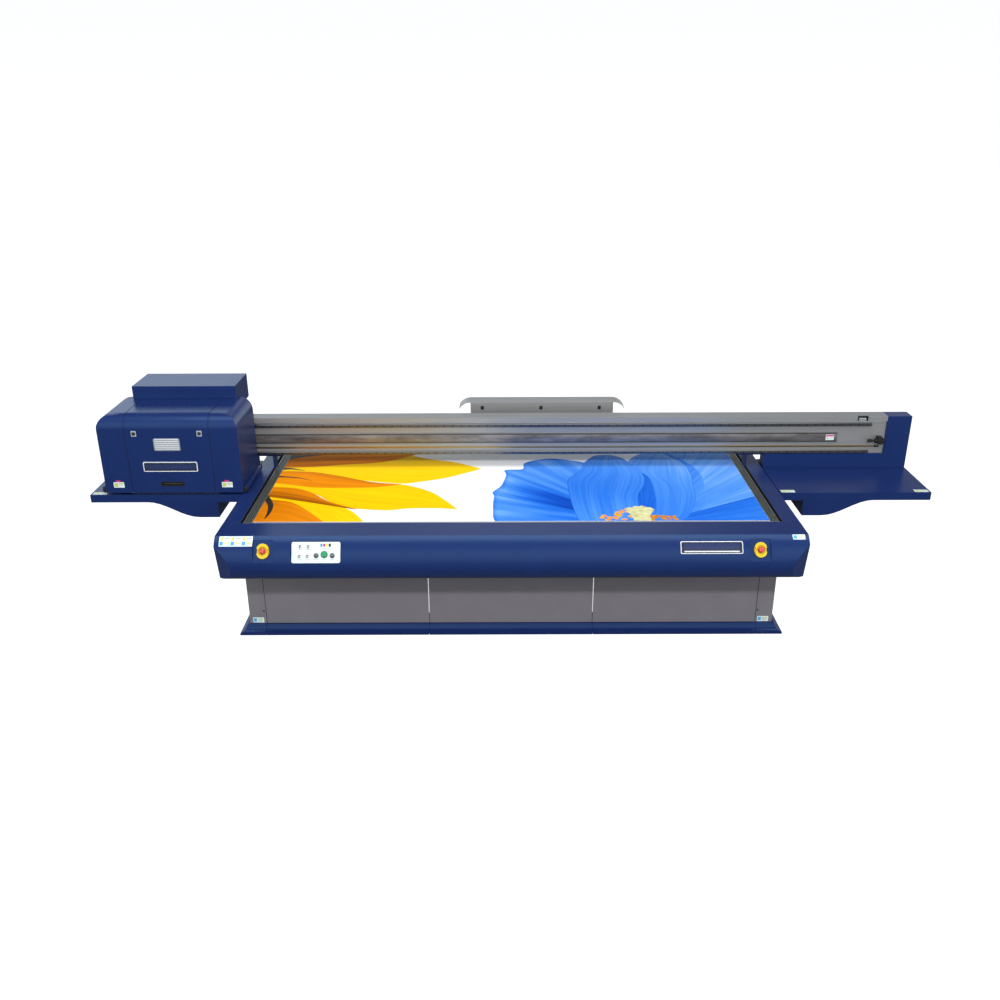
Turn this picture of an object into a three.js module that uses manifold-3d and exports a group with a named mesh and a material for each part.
// Large flatbed UV printer: a fixed vacuum bed on a panelled base, a gantry that rolls along the bed
// through two slots, and a hooded print carriage that runs along the gantry beam and lifts.
// Millimetres, +Z up, the operator stands at -Y. Lengths along Y are first counted from the front edge
// of the bed's printing area, and the whole machine is then moved so that its origin is the middle of
// its footprint on the floor.
import * as THREE from 'three';
import { mergeVertices } from 'three/addons/utils/BufferGeometryUtils.js';
import Module from 'manifold-3d';

const wasm = await Module();
wasm.setup();

// ---- driving dimensions -------------------------------------------------------------------------
const BED_WIDTH = 3200;
const BED_DEPTH = 1600;
const BED_TOP = 860;
const GAP = 0.4; // air between touching pieces
const SHEET = 3; // sheet metal of panels and hoods
const SHELL = 4; // moulded front and rear covers

// base
const COVER_HALF = 1780; // outer side of the side covers
const RAIL_WIDTH = 57; // aluminium edge rail beside the bed
const SLOT_WIDTH = 19; // slot for the gantry's legs
const PANEL_HALF = 1729;
const PANEL_FRONT = 142;
const PANEL_TOP = 598;
const PANEL_SEAM = 539; // half width of the middle front panel
const CORNER_SEAM = 1618; // where the side panels' front returns begin
const PLINTH_TOP = 63;
const PLINTH_FLARE = 60;
const FLOOR_CLEARANCE = 4;

// curved front and rear covers
const FRONT_DECK = -205; // front end of the flat deck
const FRONT_REACH = 299; // how far the belly stands in front of the bed
const BELLY_HEIGHT = 687;
const ROLL_RADIUS = 110;
const BED_FRAME_FRONT = -14;
const BED_FRAME_REAR = 1612;
const REAR_REACH = 650; // how far the rear cover stands behind the bed
const MIRROR_Y = BED_DEPTH + REAR_REACH - FRONT_REACH; // a front Y and its rear twin add up to this
const MIDDLE_Y = MIRROR_Y / 2;
const SLOT_REAR = 2050;

// gantry
const BEAM_FRONT = 928.3;
const BEAM_DEPTH = 109;
const BEAM_REAR = BEAM_FRONT + BEAM_DEPTH;
const BEAM_BOTTOM = 960.6;
const BEAM_TOP = 1232.6;
const BEAM_HALF = 2619.5;
const BEAM_FACE = BEAM_FRONT + 12; // rail face, set back under the top lip
const LIP_BOTTOM = 1198.3;
const COLUMN_HALF = 2788;
const WING_INNER = 1790; // inner end of the wing trays and of the blue walls
const TRAY_OUTER = 2793;
const TRAY_FRONT = 467;
const TRAY_TOP = 851.8;
const TRAY_THICK = 54;
const RAIL_HEIGHT = 20.7;
const LOWER_RAIL = 964.2;
const UPPER_RAIL = 1164;
const RAIL_DEPTH = 16;
const RAIL_HALF = 2514;
const MAGNET_BOTTOM = 1053.7;
const MAGNET_TOP = 1105.7;
const MAGNET_DEPTH = 6;
const MAGNET_HALF = 2286;

// carriage
const HOOD = { left: -2678.5, right: -1769, front: 464.4, back: 912, bottom: 868, top: 1398 };
const HOOD_ROLL = 88;
const DOOR_LEFT = -2500.3;
const DOOR_RIGHT = -1953;
const DOOR_BACK = 845;
const SEAM = 1.5; // half of the gap around the door
const LATCH_HEIGHT = 1280.4;
const LATCH_FROM_SEAM = 61;
const SLIDE_FRONT = 905;

// operator's controls on the front cover
const ESTOP_HEIGHT = 789.5;
const PANEL_HEIGHT = 782.4;
const ESTOP_X = 1484;
const PANEL_X = -1168;
const POCKET_DEPTH = 14;

// ---- colours ------------------------------------------------------------------------------------
const paint = (color, roughness, metalness = 0) => () =>
  new THREE.MeshStandardMaterial({ color, roughness, metalness });
const navy = paint(0x24356b, 0.38);
const grey = paint(0x6f6d72, 0.5);
const frameGrey = paint(0x4a4d52, 0.6);
const silver = paint(0xa9aaad, 0.38, 0.9);
const steel = paint(0x8b8d90, 0.25, 1);
const black = paint(0x151618, 0.6);
const white = paint(0xf3f4f2, 0.5);
const red = paint(0xd43a35, 0.4);
const yellow = paint(0xe9c21c, 0.45);
const green = paint(0x2fa36b, 0.4);

// ---- solids -------------------------------------------------------------------------------------
function toSolid(geometry) {
  const bare = geometry.clone();
  bare.deleteAttribute('normal');
  bare.deleteAttribute('uv');
  const merged = mergeVertices(bare, 1e-4);
  return new wasm.Manifold(new wasm.Mesh({
    numProp: 3,
    vertProperties: merged.attributes.position.array,
    triVerts: new Uint32Array(merged.index.array),
  }));
}

function toGeometry(solid) {
  const { vertProperties, triVerts } = solid.getMesh();
  const geometry = new THREE.BufferGeometry();
  geometry.setAttribute('position', new THREE.BufferAttribute(vertProperties, 3));
  geometry.setIndex(new THREE.BufferAttribute(triVerts, 1));
  geometry.computeVertexNormals();
  return geometry;
}

const join = (...geometries) =>
  toGeometry(geometries.map(toSolid).reduce((whole, next) => whole.add(next)));
const cut = (geometry, ...tools) =>
  toGeometry(tools.map(toSolid).reduce((rest, tool) => rest.subtract(tool), toSolid(geometry)));
const common = (first, second) => toGeometry(toSolid(first).intersect(toSolid(second)));

function box([x0, x1], [y0, y1], [z0, z1]) {
  const geometry = new THREE.BoxGeometry(x1 - x0, y1 - y0, z1 - z0);
  return geometry.translate((x0 + x1) / 2, (y0 + y1) / 2, (z0 + z1) / 2);
}

function extrude(outline, length, matrix) {
  const shape = new THREE.Shape(outline.map(([a, b]) => new THREE.Vector2(a, b)));
  const geometry = new THREE.ExtrudeGeometry(shape, { depth: length, bevelEnabled: false });
  return geometry.applyMatrix4(matrix);
}

// An outline of [y, z] points swept along X, and one of [x, z] points swept along Y.
function alongX(outline, x0, x1) {
  const axes = new THREE.Matrix4().set(0, 0, 1, x0, 1, 0, 0, 0, 0, 1, 0, 0, 0, 0, 0, 1);
  return extrude(outline, x1 - x0, axes);
}

function alongY(outline, y0, y1) {
  const axes = new THREE.Matrix4().set(1, 0, 0, 0, 0, 0, -1, y1, 0, 1, 0, 0, 0, 0, 0, 1);
  return extrude(outline, y1 - y0, axes);
}

// Points on a circle from one angle to another, in degrees.
function arc([cx, cy], radius, from, to, steps) {
  return Array.from({ length: steps + 1 }, (_, i) => {
    const angle = THREE.MathUtils.degToRad(from + ((to - from) * i) / steps);
    return [cx + radius * Math.cos(angle), cy + radius * Math.sin(angle)];
  });
}

// A round piece about the Z axis from a profile of [radius, z] points that starts and ends on it.
function turned(profile, sides = 24) {
  const points = profile.map(([r, z]) => new THREE.Vector2(r, z));
  return new THREE.LatheGeometry(points, sides).rotateX(Math.PI / 2);
}

const rod = (radius, z0, z1, sides = 24) =>
  turned([[0, z0], [radius, z0], [radius, z1], [0, z1]], sides);

const mirrorOutline = (outline) => outline.map(([x, z]) => [-x, z]);
const both = (range, sign) => (sign > 0 ? range : [-range[1], -range[0]]);

// ---- assembly -----------------------------------------------------------------------------------
const machine = new THREE.Group();
machine.position.y = -MIDDLE_Y;

function add(name, geometry, material, parent = machine) {
  const mesh = new THREE.Mesh(geometry, material());
  mesh.name = name;
  parent.add(mesh);
  return mesh;
}

// ---- base frame, feet, panels and plinth --------------------------------------------------------
const FRAME_SIDE = [1642, 1692];
const FRAME_FRONT = [180, 230];
const FRAME_REAR = [1720, 1770];
const FRAME_MIDDLE = [950, 1000];
const FRAME_BOTTOM = [30, 90];
const FRAME_TOP = [640, 699.6];
const BEARER_TOP = 841.6;

function baseFrame() {
  const across = [-FRAME_SIDE[1], FRAME_SIDE[1]];
  const pieces = [];
  for (const depth of [FRAME_FRONT, FRAME_REAR]) {
    pieces.push(box(across, depth, FRAME_BOTTOM));
    for (const sign of [-1, 1]) {
      pieces.push(box(both(FRAME_SIDE, sign), depth, [FRAME_BOTTOM[0], FRAME_TOP[1]]));
    }
  }
  for (const depth of [FRAME_FRONT, FRAME_MIDDLE, FRAME_REAR]) {
    pieces.push(box(across, depth, FRAME_TOP));
  }
  for (const sign of [-1, 1]) {
    pieces.push(box(both(FRAME_SIDE, sign), [FRAME_FRONT[0], FRAME_REAR[1]], FRAME_BOTTOM));
    pieces.push(box(both(FRAME_SIDE, sign), [-120, 2060], FRAME_TOP));
  }
  for (const x of [-1500, -750, 0, 750, 1500]) {
    pieces.push(box([x - 15, x + 15], [30, 1780], [FRAME_TOP[0] + 20, BEARER_TOP]));
  }
  return join(...pieces);
}
add('base_frame', baseFrame(), frameGrey);

const FOOT_X = 1667;
const FOOT_PROFILE = [[0, 0], [36, 0], [36, 8], [18, 16], [10, 16], [10, FRAME_BOTTOM[0] - GAP],
  [0, FRAME_BOTTOM[0] - GAP]];
[[-FOOT_X, 205], [FOOT_X, 205], [-FOOT_X, 1745], [FOOT_X, 1745]].forEach(([x, y], i) => {
  add(`levelling_foot_${i + 1}`, turned(FOOT_PROFILE, 16), steel).position.set(x, y, 0);
});

const PANEL_BOTTOM = PLINTH_TOP + GAP;
const PANEL_REAR = MIRROR_Y - PANEL_FRONT;
const frontSheet = [PANEL_FRONT, PANEL_FRONT + SHEET];
const panelHeight = [PANEL_BOTTOM, PANEL_TOP];
add('front_panel_left', box([-CORNER_SEAM + SEAM, -PANEL_SEAM - SEAM], frontSheet, panelHeight), grey);
add('front_panel_centre', box([-PANEL_SEAM + SEAM, PANEL_SEAM - SEAM], frontSheet, panelHeight), grey);
add('front_panel_right', box([PANEL_SEAM + SEAM, CORNER_SEAM - SEAM], frontSheet, panelHeight), grey);

function sidePanel(sign) {
  const returned = box(both([CORNER_SEAM + SEAM, PANEL_HALF], sign), frontSheet, panelHeight);
  const side = box(both([PANEL_HALF - SHEET, PANEL_HALF], sign), [PANEL_FRONT, PANEL_REAR], panelHeight);
  return join(returned, side);
}
add('side_panel_left', sidePanel(-1), grey);
add('side_panel_right', sidePanel(1), grey);
const REAR_PANEL_HALF = PANEL_HALF - SHEET - GAP;
add('rear_panel', box([-REAR_PANEL_HALF, REAR_PANEL_HALF], [PANEL_REAR - SHEET, PANEL_REAR], panelHeight), grey);

// The plinth's section: [distance out from the panels, height], a cove over a small upright lip.
const PLINTH_SECTION = [
  [-22, FLOOR_CLEARANCE], [PLINTH_FLARE, FLOOR_CLEARANCE], [PLINTH_FLARE, 16],
  ...arc([PLINTH_FLARE + 2, PLINTH_TOP - 2], 45, 268, 182, 5), [14, PLINTH_TOP], [-22, PLINTH_TOP],
];

// One plinth length, mitred at both corners; the section's first number runs along +Y.
function plinthLength(halfLength) {
  const geometry = alongX(PLINTH_SECTION, -1, 1);
  const place = geometry.attributes.position;
  for (let i = 0; i < place.count; i += 1) {
    place.setX(i, Math.sign(place.getX(i)) * (halfLength - GAP + place.getY(i)));
  }
  return geometry;
}
const HALF_DEPTH = (PANEL_REAR - PANEL_FRONT) / 2;
[
  ['plinth_front', PANEL_HALF, Math.PI, 0, PANEL_FRONT],
  ['plinth_rear', PANEL_HALF, 0, 0, PANEL_REAR],
  ['plinth_left', HALF_DEPTH, Math.PI / 2, -PANEL_HALF, MIDDLE_Y],
  ['plinth_right', HALF_DEPTH, -Math.PI / 2, PANEL_HALF, MIDDLE_Y],
].forEach(([name, halfLength, turn, x, y]) => {
  const mesh = add(name, plinthLength(halfLength), navy);
  mesh.rotation.z = turn;
  mesh.position.set(x, y, 0);
});

// ---- front and rear covers ----------------------------------------------------------------------
const BELLY_OUT = FRONT_REACH + FRONT_DECK; // belly in front of the deck's end
const BELLY_RISE = BED_TOP - BELLY_HEIGHT;
const BELLY_RADIUS = (BELLY_OUT ** 2 + BELLY_RISE ** 2) / (2 * BELLY_OUT);
const BELLY_CENTRE = BELLY_RADIUS - FRONT_REACH;
const COVER_BOTTOM = BELLY_HEIGHT - ROLL_RADIUS;

// Section of the front cover, [y, z]: flat deck, belly, roll, underside, open towards the bed.
function coverSection(inset, backTop, backBottom) {
  const radius = BELLY_RADIUS - inset;
  const start = THREE.MathUtils.radToDeg(Math.asin((BELLY_RISE - inset) / radius));
  return [
    [backTop, BED_TOP - inset],
    ...arc([BELLY_CENTRE, BELLY_HEIGHT], radius, 180 - start, 180, 7),
    ...arc([ROLL_RADIUS - FRONT_REACH, BELLY_HEIGHT], ROLL_RADIUS - inset, 195, 270, 5),
    [backBottom, COVER_BOTTOM + inset],
  ];
}

// The slanting corner facet passes through this point of the section, with this outward direction.
const FACET_HEIGHT = 812;
const FACET_NORMAL = new THREE.Vector3(0.592, -0.787, -0.172).normalize();

function facetCutter(sign, inset, rear) {
  const angle = Math.asin((FACET_HEIGHT - BELLY_HEIGHT) / BELLY_RADIUS);
  const y = BELLY_CENTRE - BELLY_RADIUS * Math.cos(angle);
  const normal = FACET_NORMAL.clone();
  const point = new THREE.Vector3(COVER_HALF, y, FACET_HEIGHT).addScaledVector(normal, -inset);
  normal.x *= sign;
  point.x *= sign;
  if (rear) {
    normal.y *= -1;
    point.y = MIRROR_Y - point.y;
  }
  const turn = new THREE.Quaternion().setFromUnitVectors(new THREE.Vector3(0, 0, 1), normal);
  return new THREE.BoxGeometry(2000, 2000, 1000).translate(0, 0, 500)
    .applyQuaternion(turn).translate(point.x, point.y, point.z);
}

function curvedCover(backTop, backBottom, rear) {
  const place = (outline) => (rear ? outline.map(([y, z]) => [MIRROR_Y - y, z]) : outline);
  const half = COVER_HALF;
  const outer = cut(alongX(place(coverSection(0, backTop, backBottom)), -half, half),
    facetCutter(-1, 0, rear), facetCutter(1, 0, rear));
  const hollow = place(coverSection(SHELL, backTop + 60, backBottom + 60));
  const inner = cut(alongX(hollow, -half + SHELL, half - SHELL),
    facetCutter(-1, SHELL, rear), facetCutter(1, SHELL, rear));
  return [outer, inner];
}

// Where the controls sit: a frame on the belly whose Z points out of the cover.
function station(x, height) {
  const angle = Math.asin((height - BELLY_HEIGHT) / BELLY_RADIUS);
  const group = new THREE.Group();
  group.position.set(x, BELLY_CENTRE - BELLY_RADIUS * Math.cos(angle), height);
  group.rotation.x = Math.PI / 2 - angle;
  group.updateMatrix();
  machine.add(group);
  return group;
}
const stations = {
  left: station(-ESTOP_X, ESTOP_HEIGHT), right: station(ESTOP_X, ESTOP_HEIGHT), panel: station(PANEL_X, PANEL_HEIGHT),
};
const PANEL_SIZE = [292, 127];
const POCKETS = [
  [stations.left, 127, 136, rod(14, -60, 10)],
  [stations.right, 127, 136, rod(14, -60, 10)],
  [stations.panel, 300, 135, box([-130, 130], [-58, 58], [-60, 10])],
];

function frontCover() {
  const [outer, inner] = curvedCover(BED_FRAME_FRONT - SHELL, PANEL_FRONT - SHEET, false);
  const cups = POCKETS.map(([place, width, height]) => {
    const half = [width / 2 + SHELL, height / 2 + SHELL];
    const cup = box([-half[0], half[0]], [-half[1], half[1]], [-POCKET_DEPTH - SHELL, 60]);
    return common(cup.applyMatrix4(place.matrix), outer);
  });
  const wells = POCKETS.flatMap(([place, width, height, hole]) => [
    box([-width / 2, width / 2], [-height / 2, height / 2], [-POCKET_DEPTH, 80]).applyMatrix4(place.matrix),
    hole.clone().applyMatrix4(place.matrix),
  ]);
  // the side covers take over behind the deck, outside the side panels
  const corners = [-1, 1].map((sign) =>
    box(both([PANEL_HALF + SHEET - GAP, COVER_HALF + 10], sign), [BED_FRAME_FRONT, PANEL_FRONT], [500, 900]));
  return cut(join(cut(outer, inner), ...cups), ...wells, ...corners);
}
add('front_cover', frontCover(), navy);

const SLOT_INNER = BED_WIDTH / 2 + GAP + RAIL_WIDTH;
const SLOT_OUTER = SLOT_INNER + SLOT_WIDTH;
function rearCover() {
  const back = MIRROR_Y - BED_FRAME_REAR;
  const [outer, inner] = curvedCover(back, back, true);
  const panelHalf = PANEL_HALF + SHEET - GAP;
  const overPanels = box([-panelHalf, panelHalf], [BED_FRAME_REAR - 10, PANEL_REAR + SHEET], [500, 620]);
  const slots = [-1, 1].map((sign) =>
    box(both([SLOT_INNER, SLOT_OUTER], sign), [BED_FRAME_REAR - 10, SLOT_REAR], [820, 880]));
  return cut(outer, inner, overPanels, ...slots);
}
add('rear_cover', rearCover(), navy);

const COVER_CORNER = 40;
function sideCover(sign) {
  const corner = [COVER_HALF - COVER_CORNER, COVER_BOTTOM + COVER_CORNER];
  const section = [
    [SLOT_OUTER, BED_TOP - 30], [SLOT_OUTER, BED_TOP], [COVER_HALF, BED_TOP],
    ...arc(corner, COVER_CORNER, 0, -90, 5),
    [PANEL_HALF + SHEET, COVER_BOTTOM], [PANEL_HALF + SHEET, COVER_BOTTOM + SHELL],
    ...arc(corner, COVER_CORNER - SHELL, -90, 0, 5),
    [COVER_HALF - SHELL, BED_TOP - SHELL], [SLOT_OUTER + SHELL, BED_TOP - SHELL],
    [SLOT_OUTER + SHELL, BED_TOP - 30],
  ];
  const length = [BED_FRAME_FRONT + GAP, BED_FRAME_REAR - GAP];
  return alongY(sign > 0 ? section : mirrorOutline(section), ...length);
}
add('side_cover_left', sideCover(-1), navy);
add('side_cover_right', sideCover(1), navy);

// ---- bed ----------------------------------------------------------------------------------------
const MEDIA_THICK = 3;
const TABLE_THICK = 15;
const TABLE_TOP = BED_TOP - MEDIA_THICK - GAP;
const bedSpan = [-BED_WIDTH / 2, BED_WIDTH / 2];
add('vacuum_table', box(bedSpan, [0, BED_DEPTH], [TABLE_TOP - TABLE_THICK, TABLE_TOP]), silver);
add('media_board', box(bedSpan, [0, BED_DEPTH], [BED_TOP - MEDIA_THICK, BED_TOP]), white);

const railLength = [BED_FRAME_FRONT + GAP, BED_FRAME_REAR - GAP];
for (const [name, sign] of [['bed_rail_left', -1], ['bed_rail_right', 1]]) {
  const span = both([BED_WIDTH / 2 + GAP, SLOT_INNER], sign);
  add(name, box(span, railLength, [BED_TOP - 60, BED_TOP]), silver);
}

const Y_RAIL_X = 1667;
const Y_RAIL_TOP = 730;
for (const [name, sign] of [['y_rail_left', -1], ['y_rail_right', 1]]) {
  add(name, box(both([Y_RAIL_X - 15, Y_RAIL_X + 15], sign), [-100, 2040], [700, Y_RAIL_TOP]), steel);
}

function vacuumBlower() {
  const casing = rod(170, -60, 60).rotateX(Math.PI / 2).translate(-900, 975, 330);
  const base = box([-1080, -720], [890, 1060], [130, 190]);
  const outlet = box([-900, -735], [935, 1015], [330, 560]);
  const motor = rod(95, 0, 240).rotateX(Math.PI / 2).translate(-900, 916, 330);
  return join(casing, base, outlet, motor);
}
add('vacuum_blower', vacuumBlower(), steel);

// ---- control panel and emergency stops ----------------------------------------------------------
const FLOOR = -POCKET_DEPTH;
const PLATE = [FLOOR + GAP, FLOOR + GAP + 6];
const controls = [
  ['start_button', 50, -12, 18, green], ['reset_button', 2, -18, 13, steel],
  ['stop_button', 98, -18, 13, steel],
];
const knobs = [[-94, 36], [-45, 36], [-98, -21], [-50, -21]];

function controlPlate() {
  const [width, height] = PANEL_SIZE.map((size) => size / 2);
  const holes = [
    ...controls.map(([, x, y, radius]) => rod(radius * 0.6 + 0.5, -40, 40).translate(x, y, 0)),
    ...knobs.map(([x, y]) => rod(6.5, -40, 40).translate(x, y, 0)),
  ];
  return cut(box([-width, width], [-height, height], PLATE), ...holes);
}
add('control_panel', controlPlate(), white, stations.panel);

const FACE = PLATE[1] + GAP;
const PRESS = 4; // travel of a push button
controls.forEach(([name, x, y, radius, material]) => {
  const stem = radius * 0.6;
  const profile = [[0, -44], [stem, -44], [stem, FACE + PRESS], [radius, FACE + PRESS],
    [radius, FACE + PRESS + 5], [radius - 2, FACE + PRESS + 7], [0, FACE + PRESS + 7]];
  add(name, turned(profile), material, stations.panel).position.set(x, y, 0);
});
knobs.forEach(([x, y], i) => {
  const dial = turned([[0, -44], [6, -44], [6, FACE], [11.5, FACE], [11.5, FACE + 5], [0, FACE + 5]]);
  const lever = box([-3, 3], [-10, 10], [FACE + 2, FACE + 16]);
  add(`selector_${i + 1}`, join(dial, lever), black, stations.panel).position.set(x, y, 0);
});

const GUARD = { radius: 36, length: 92, height: 20, notch: 13 };
function estopGuard() {
  const half = GUARD.length / 2 - GUARD.radius;
  const outline = [...arc([0, half], GUARD.radius, 0, 180, 12), ...arc([0, -half], GUARD.radius, 180, 360, 12)];
  const body = extrude(outline, GUARD.height, new THREE.Matrix4().setPosition(0, 0, PLATE[0]));
  const well = rod(27, PLATE[0] + 6, 60);
  const notches = [-1, 1].map((sign) =>
    box(both([GUARD.radius - 6, 60], sign), [-GUARD.notch, GUARD.notch], [PLATE[0] + 6, 60]));
  return cut(body, well, rod(12, -40, 60), ...notches);
}
const ESTOP_TRAVEL = 6;
const ESTOP_PROFILE = [[0, -48], [11, -48], [11, PLATE[0] + 14], [18, PLATE[0] + 15], [20, PLATE[0] + 20],
  [19, PLATE[0] + 26 + ESTOP_TRAVEL / 2], [14, PLATE[0] + 30 + ESTOP_TRAVEL / 2], [0, PLATE[0] + 31 + ESTOP_TRAVEL / 2]];
for (const side of ['left', 'right']) {
  add(`estop_guard_${side}`, estopGuard(), yellow, stations[side]);
  add(`estop_button_${side}`, turned(ESTOP_PROFILE), red, stations[side]);
}

// ---- gantry -------------------------------------------------------------------------------------
const WALL = 8;
function gantryBeam() {
  const outer = [[BEAM_FACE, BEAM_BOTTOM], [BEAM_REAR, BEAM_BOTTOM], [BEAM_REAR, BEAM_TOP],
    [BEAM_FRONT, BEAM_TOP], [BEAM_FRONT, LIP_BOTTOM], [BEAM_FACE, LIP_BOTTOM]];
  const inside = [[BEAM_FACE + WALL, BEAM_BOTTOM + WALL], [BEAM_REAR - WALL, BEAM_BOTTOM + WALL],
    [BEAM_REAR - WALL, BEAM_TOP - WALL], [BEAM_FACE + WALL, BEAM_TOP - WALL]];
  return cut(alongX(outer, -BEAM_HALF, BEAM_HALF), alongX(inside, -BEAM_HALF - 5, BEAM_HALF + 5));
}
add('gantry_beam', gantryBeam(), silver);

const railDepth = [BEAM_FACE - GAP - RAIL_DEPTH, BEAM_FACE - GAP];
for (const [name, z] of [['x_rail_lower', LOWER_RAIL], ['x_rail_upper', UPPER_RAIL]]) {
  add(name, box([-RAIL_HALF, RAIL_HALF], railDepth, [z, z + RAIL_HEIGHT]), steel);
}
const magnetDepth = [BEAM_FACE - GAP - MAGNET_DEPTH, BEAM_FACE - GAP];
add('magnet_track', box([-MAGNET_HALF, MAGNET_HALF], magnetDepth, [MAGNET_BOTTOM, MAGNET_TOP]), steel);

// End of the gantry: column, wall under the beam, and the leg that drops through the slot to the rail.
const LEG = [1661, 1673];
const LEG_DEPTH = [945, 1030];
const BLOCK_DEPTH = [880, 1090];
function gantryEnd(sign) {
  const column = box(both([BEAM_HALF + GAP, COLUMN_HALF], sign), [BEAM_FRONT, BEAM_REAR], [TRAY_TOP + GAP, BEAM_TOP]);
  const underBeam = [TRAY_TOP + GAP, BEAM_BOTTOM - GAP];
  const wall = box(both([WING_INNER, COLUMN_HALF], sign), [BEAM_FRONT, BEAM_REAR], underBeam);
  const flange = box(both([1612, WING_INNER + 10], sign), LEG_DEPTH, [BEAM_BOTTOM - 13, BEAM_BOTTOM - GAP]);
  const leg = box(both(LEG, sign), LEG_DEPTH, [750, BEAM_BOTTOM - 6]);
  const block = cut(box(both([Y_RAIL_X - 36, Y_RAIL_X + 36], sign), BLOCK_DEPTH, [706, 762]),
    box(both([Y_RAIL_X - 15.5, Y_RAIL_X + 15.5], sign), [800, 1200], [690, Y_RAIL_TOP + 0.5]));
  return join(column, wall, flange, leg, block);
}
add('gantry_end_left', gantryEnd(-1), navy);
add('gantry_end_right', gantryEnd(1), navy);

// Wing tray with its ogee skirt bracket; the left one has a well for the capping station.
const SKIRT = { inner: 1950, deep: 2080, end: 2420, depth: 110 };
const TRAY_BOTTOM = TRAY_TOP - TRAY_THICK;
const TRAY_REAR = 1118;
const WELL = { x: [-2520, -1935], y: [505, 815] };
function skirtSection(inset) {
  const low = TRAY_BOTTOM - SKIRT.depth + inset;
  const middle = (SKIRT.deep + SKIRT.end) / 2;
  const reach = (SKIRT.end - SKIRT.deep) / 2;
  const steps = 8;
  const ogee = Array.from({ length: steps + 1 }, (_, i) => {
    const t = -1 + (2 * i) / steps;
    return [middle + reach * t, low + SKIRT.depth * (0.5 + 0.5 * Math.sin((t * Math.PI) / 2))];
  });
  const top = TRAY_BOTTOM + inset + 10;
  return [[SKIRT.inner + inset, top], [SKIRT.inner + inset, low], ...ogee, [SKIRT.end, top]];
}
function sideTray(sign) {
  const place = (outline) => (sign > 0 ? outline : mirrorOutline(outline));
  const tray = box(both([WING_INNER, TRAY_OUTER], sign), [TRAY_FRONT, TRAY_REAR], [TRAY_BOTTOM, TRAY_TOP]);
  const skirt = alongY(place(skirtSection(0)), TRAY_FRONT + 2, TRAY_REAR - 40);
  const underTray = box(both([WING_INNER + SHEET, TRAY_OUTER - SHEET], sign),
    [TRAY_FRONT + SHEET, TRAY_REAR - SHEET], [TRAY_BOTTOM - 0.1, TRAY_TOP - SHEET]);
  const underSkirt = alongY(place(skirtSection(SHEET)), TRAY_FRONT + 2 + SHEET, TRAY_REAR);
  const whole = cut(join(tray, skirt), underTray, underSkirt);
  return sign < 0 ? cut(whole, box(WELL.x, WELL.y, [TRAY_BOTTOM, TRAY_TOP + 10])) : whole;
}
add('side_tray_left', sideTray(-1), navy);
add('side_tray_right', sideTray(1), navy);

// Trough for the carriage's cable chain behind the beam, with the anchor hood standing over it.
const TROUGH = { front: BEAM_REAR + GAP, rear: 1157, bottom: 1010, top: 1190 };
const ANCHOR_SPAN = [-279, 739];
const ANCHOR_DEPTH = 128;
const ANCHOR_TOP = 1275;
const ANCHOR_BEND = 94; // radius and run of the turned-down ends
function chainCarrier() {
  const outer = [[TROUGH.front, TROUGH.bottom], [TROUGH.rear, TROUGH.bottom], [TROUGH.rear, TROUGH.top],
    [TROUGH.rear - SHEET, TROUGH.top], [TROUGH.rear - SHEET, TROUGH.bottom + SHEET],
    [TROUGH.front + SHEET, TROUGH.bottom + SHEET], [TROUGH.front + SHEET, TROUGH.top],
    [TROUGH.front, TROUGH.top]];
  const trough = alongX(outer, -BEAM_HALF, BEAM_HALF);
  const plate = box(ANCHOR_SPAN, [TROUGH.rear - SHEET, TROUGH.rear], [TROUGH.top - 40, ANCHOR_TOP - 2]);
  const top = (radius) => [
    ...arc([ANCHOR_SPAN[0], ANCHOR_TOP - ANCHOR_BEND], radius, 150, 90, 5),
    ...arc([ANCHOR_SPAN[1], ANCHOR_TOP - ANCHOR_BEND], radius, 90, 30, 5),
  ];
  const depth = [TROUGH.rear - SHEET, TROUGH.rear + ANCHOR_DEPTH];
  const hood = alongY([...top(ANCHOR_BEND), ...top(ANCHOR_BEND - SHEET).reverse()], ...depth);
  return join(trough, plate, hood);
}
add('chain_carrier', chainCarrier(), silver);

function bumpStop() {
  const axis = [897, 1067];
  const shaft = rod(7, -62, 40, 16);
  const body = rod(13, -38, 24, 16);
  const tip = rod(11, -86, -60, 16);
  const buffer = join(shaft, body, tip).rotateY(Math.PI / 2).translate(2575, ...axis);
  return join(buffer, box([2560, 2590], [876, BEAM_FACE - GAP], [1044, 1090]));
}
add('bump_stop', bumpStop(), black);

// Capping station: a lifting plate with a row of caps that seal the print heads when parked.
const CAP_Z = [830, 866];
const CAP_ROWS = 2;
const CAP_COLUMNS = 4;
function cappingStation() {
  const [x0, x1] = [WELL.x[0] + 6, WELL.x[1] - 6];
  const [y0, y1] = [WELL.y[0] + 6, WELL.y[1] - 6];
  const pitch = [(x1 - x0) / CAP_COLUMNS, (y1 - y0) / CAP_ROWS];
  const caps = [];
  for (let column = 0; column < CAP_COLUMNS; column += 1) {
    for (let row = 0; row < CAP_ROWS; row += 1) {
      const x = x0 + pitch[0] * column;
      const y = y0 + pitch[1] * row;
      caps.push(box([x + 20, x + pitch[0] - 20], [y + 20, y + pitch[1] - 20], [CAP_Z[1] - 12, CAP_Z[1] + 5]));
    }
  }
  return cut(box([x0, x1], [y0, y1], CAP_Z), ...caps);
}
add('capping_station', cappingStation(), steel);

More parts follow.
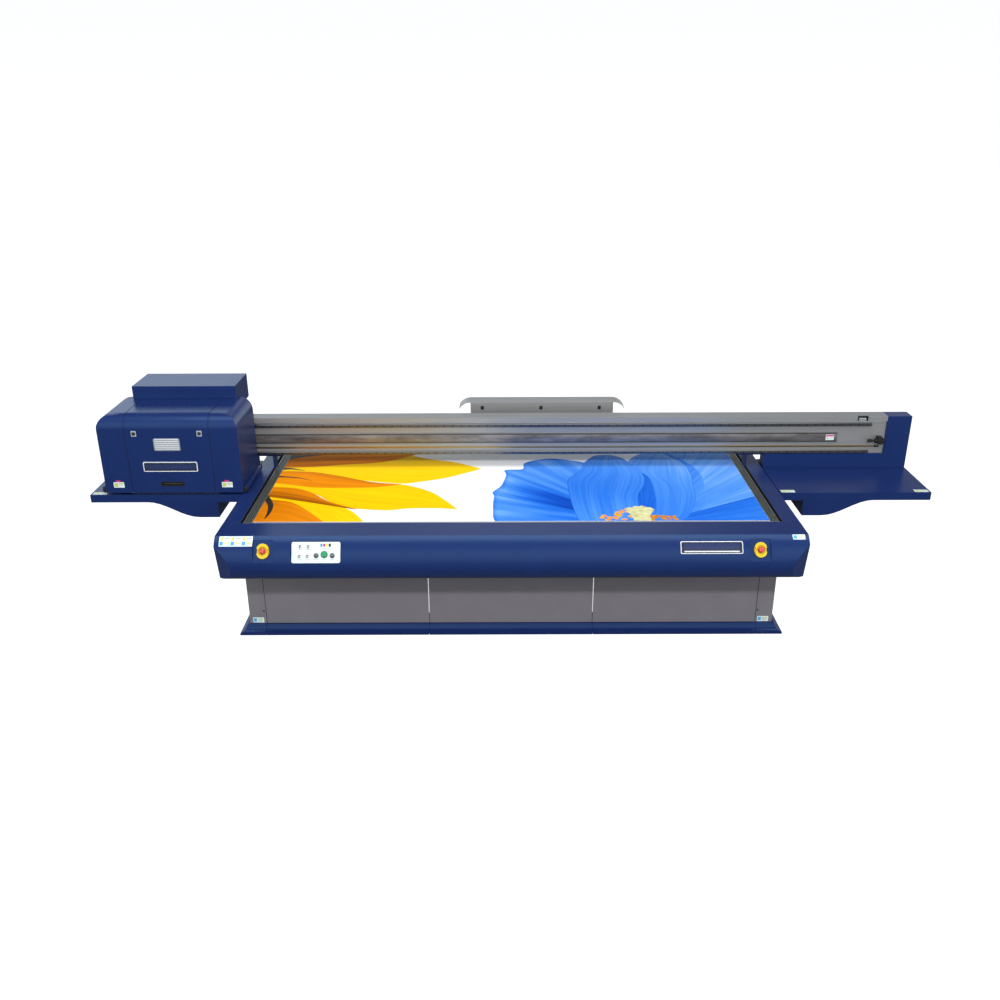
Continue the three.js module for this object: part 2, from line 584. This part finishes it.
// ---- carriage -----------------------------------------------------------------------------------
const BLOCKS = [[-2610, -2490], [-1950, -1830]];
function slidePlate() {
  const plate = box([-2640, -1810], [SLIDE_FRONT, 922], [980, 1215]);
  const blocks = [];
  const grooves = [];
  for (const z of [LOWER_RAIL, UPPER_RAIL]) {
    grooves.push(box([-2700, -1700], [railDepth[0] - 0.5, BEAM_REAR], [z - 0.5, z + RAIL_HEIGHT + 0.5]));
    for (const x of BLOCKS) {
      blocks.push(box(x, [SLIDE_FRONT + 6, BEAM_FACE - 3], [z - 3, z + RAIL_HEIGHT + 12]));
    }
  }
  const forcer = box([-2440, -2000], [SLIDE_FRONT + 6, magnetDepth[0] - 0.8], [MAGNET_BOTTOM + 2, MAGNET_TOP - 2]);
  return cut(join(plate, ...blocks, forcer), ...grooves);
}
add('x_slide_plate', slidePlate(), silver);

const HEADS = { x: [-2500, -1955], y: [520, 800], z: [872, 965] };
const LAMP_Z = [874, 985];
const LAMPS = { left: [-2632, -2524], right: [-1931, -1823] };
const PLATE_Z = [890, 904];
function headCarrier() {
  const base = box([-2650, -1798], [490, 902], PLATE_Z);
  const back = box([-2560, -1890], [888, SLIDE_FRONT - GAP], [PLATE_Z[0], 1210]);
  const holes = [HEADS.x, LAMPS.left, LAMPS.right].map(([x0, x1]) =>
    box([x0 - GAP, x1 + GAP], [HEADS.y[0] - GAP, HEADS.y[1] + GAP], [860, 950]));
  return cut(join(base, back), ...holes);
}
add('head_carrier', headCarrier(), silver);
add('print_heads', box(HEADS.x, HEADS.y, HEADS.z), black);
add('uv_lamp_left', box(LAMPS.left, HEADS.y, LAMP_Z), black);
add('uv_lamp_right', box(LAMPS.right, HEADS.y, LAMP_Z), black);

// Hood: a sheet shell with rolled front, left and right top edges, open below and behind.
function hoodBody(inset, openEnds) {
  const radius = HOOD_ROLL - inset;
  const bottom = HOOD.bottom - openEnds;
  const [front, back] = [HOOD.front + inset, HOOD.back + openEnds];
  const [left, right] = [HOOD.left + inset, HOOD.right - inset];
  const top = HOOD.top - inset;
  const alongDepth = [[left, bottom], [right, bottom], ...arc([right - radius, top - radius], radius, 0, 90, 6),
    ...arc([left + radius, top - radius], radius, 90, 180, 6)];
  const alongWidth = [[back, bottom], [back, top], ...arc([front + radius, top - radius], radius, 90, 180, 6),
    [front, bottom]];
  return common(alongY(alongDepth, front, back), alongX(alongWidth, left, right));
}
const shell = cut(hoodBody(0, 0), hoodBody(SHEET, 30));
const cell = (x, y) => common(shell, box(x, y, [800, 1500]));
const wide = [-3000, -1000];
const deep = [400, 1000];
add('carriage_hood_left', cell([wide[0], DOOR_LEFT - SEAM], deep), navy);
add('carriage_hood_right',
  join(cell([DOOR_RIGHT + SEAM, wide[1]], deep), cell([DOOR_LEFT - SEAM + GAP, DOOR_RIGHT + 20], [DOOR_BACK, deep[1]])),
  navy);

const latchX = [DOOR_LEFT + LATCH_FROM_SEAM, DOOR_RIGHT - LATCH_FROM_SEAM];
const latchHoles = latchX.map((x) => rod(8, -40, 40, 12).rotateX(Math.PI / 2).translate(x, HOOD.front, LATCH_HEIGHT));
add('carriage_door', cut(cell([DOOR_LEFT + SEAM, DOOR_RIGHT - SEAM], [deep[0], DOOR_BACK - SEAM]), ...latchHoles), navy);

const CAM_LENGTH = 66;
function latch(sign) {
  const knob = turned([[0, -22], [7.5, -22], [7.5, GAP], [17, GAP], [17, 5], [14, 7], [0, 7]], 16);
  const cam = box(both([-6, CAM_LENGTH], sign), [-8, 8], [-22, -17]);
  return join(knob, cam);
}
['left', 'right'].forEach((side, i) => {
  const mesh = add(`door_latch_${side}`, latch(side === 'left' ? -1 : 1), steel);
  mesh.rotation.x = Math.PI / 2;
  mesh.position.set(latchX[i], HOOD.front, LATCH_HEIGHT);
});

const INK = { x: [-2555, -1857], y: [DOOR_BACK + GAP, 1172], z: [1322, 1488.5] };
function inkBox() {
  const step = HOOD.top + GAP;
  const outline = (inset) => [[INK.y[0] + inset, INK.z[1] - inset], [INK.y[0] + inset, step - inset * 2],
    [HOOD.back + 3 + inset, step - inset * 2], [HOOD.back + 3 + inset, INK.z[0] - inset * 2],
    [INK.y[1] - inset, INK.z[0] - inset * 2], [INK.y[1] - inset, INK.z[1] - inset]];
  return cut(alongX(outline(0), ...INK.x), alongX(outline(SHEET), INK.x[0] + SHEET, INK.x[1] - SHEET));
}
add('ink_box', inkBox(), navy);

export default machine;
